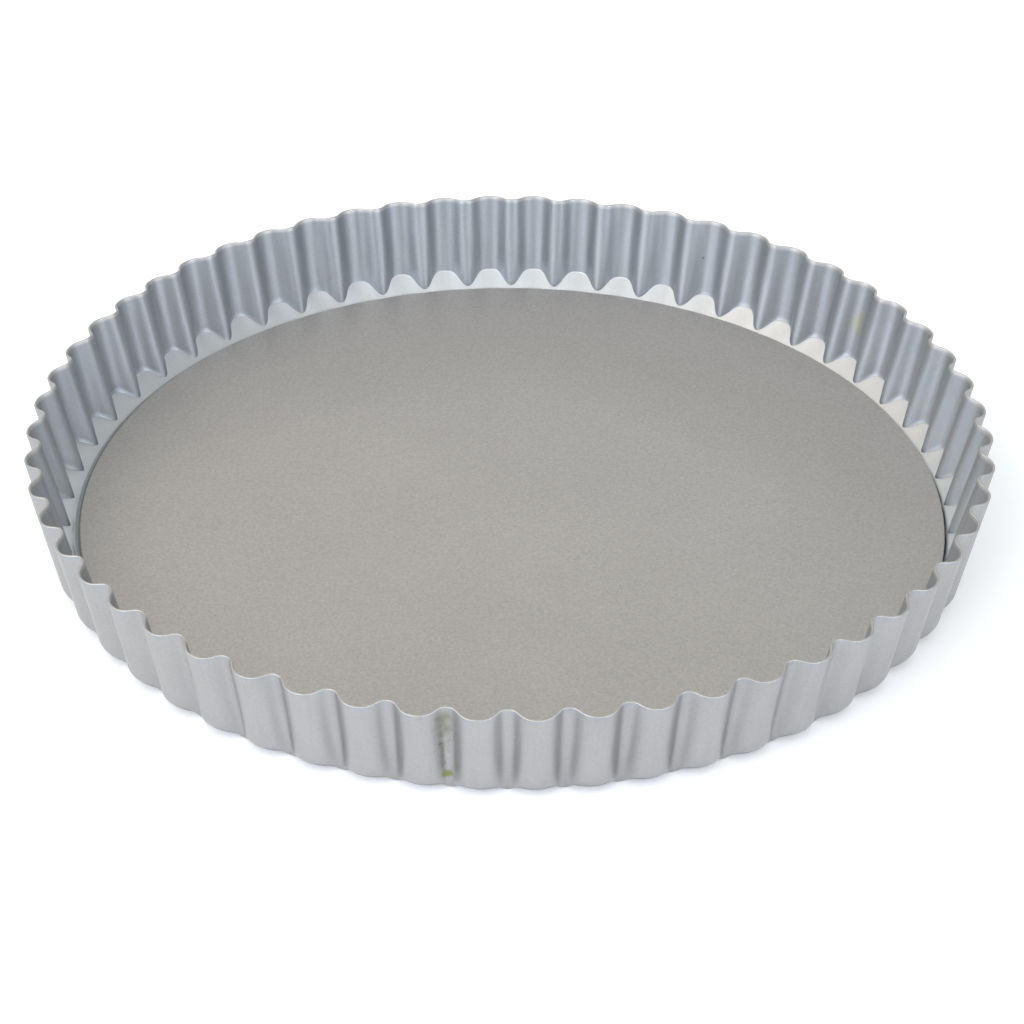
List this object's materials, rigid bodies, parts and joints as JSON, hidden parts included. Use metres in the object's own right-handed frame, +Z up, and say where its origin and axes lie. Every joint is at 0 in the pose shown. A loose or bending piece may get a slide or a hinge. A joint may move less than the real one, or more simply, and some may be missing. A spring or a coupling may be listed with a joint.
{
  "type": "loose-bottom quiche tin",
  "caption": "Round fluted baking tin of satin aluminium: a flared, fluted ring with an inner ledge, and a flat loose base that lifts out through the top.",
  "frame": {"origin": "centre of the underside, level with the surface the tin stands on", "axes": "+Z up along the tin's axis; +X to the right and -Y towards the viewer in the picture; an inward ridge of the wall lies on +X"},
  "size_m": [0.2282, 0.2282, 0.0252],
  "materials": {
    "ring_aluminium": "satin anodised",
    "base_aluminium": "fine matt anodised"
  },
  "bodies": {
    "ring": {"fluted_ring": "ring_aluminium"},
    "base": {"loose_base": "base_aluminium"}
  },
  "joints": [
    {"name": "base_lift", "type": "slide", "parent": "ring", "child": "base", "axis": [0, 0, 1], "range_m": [0, 0.04]}
  ]
}
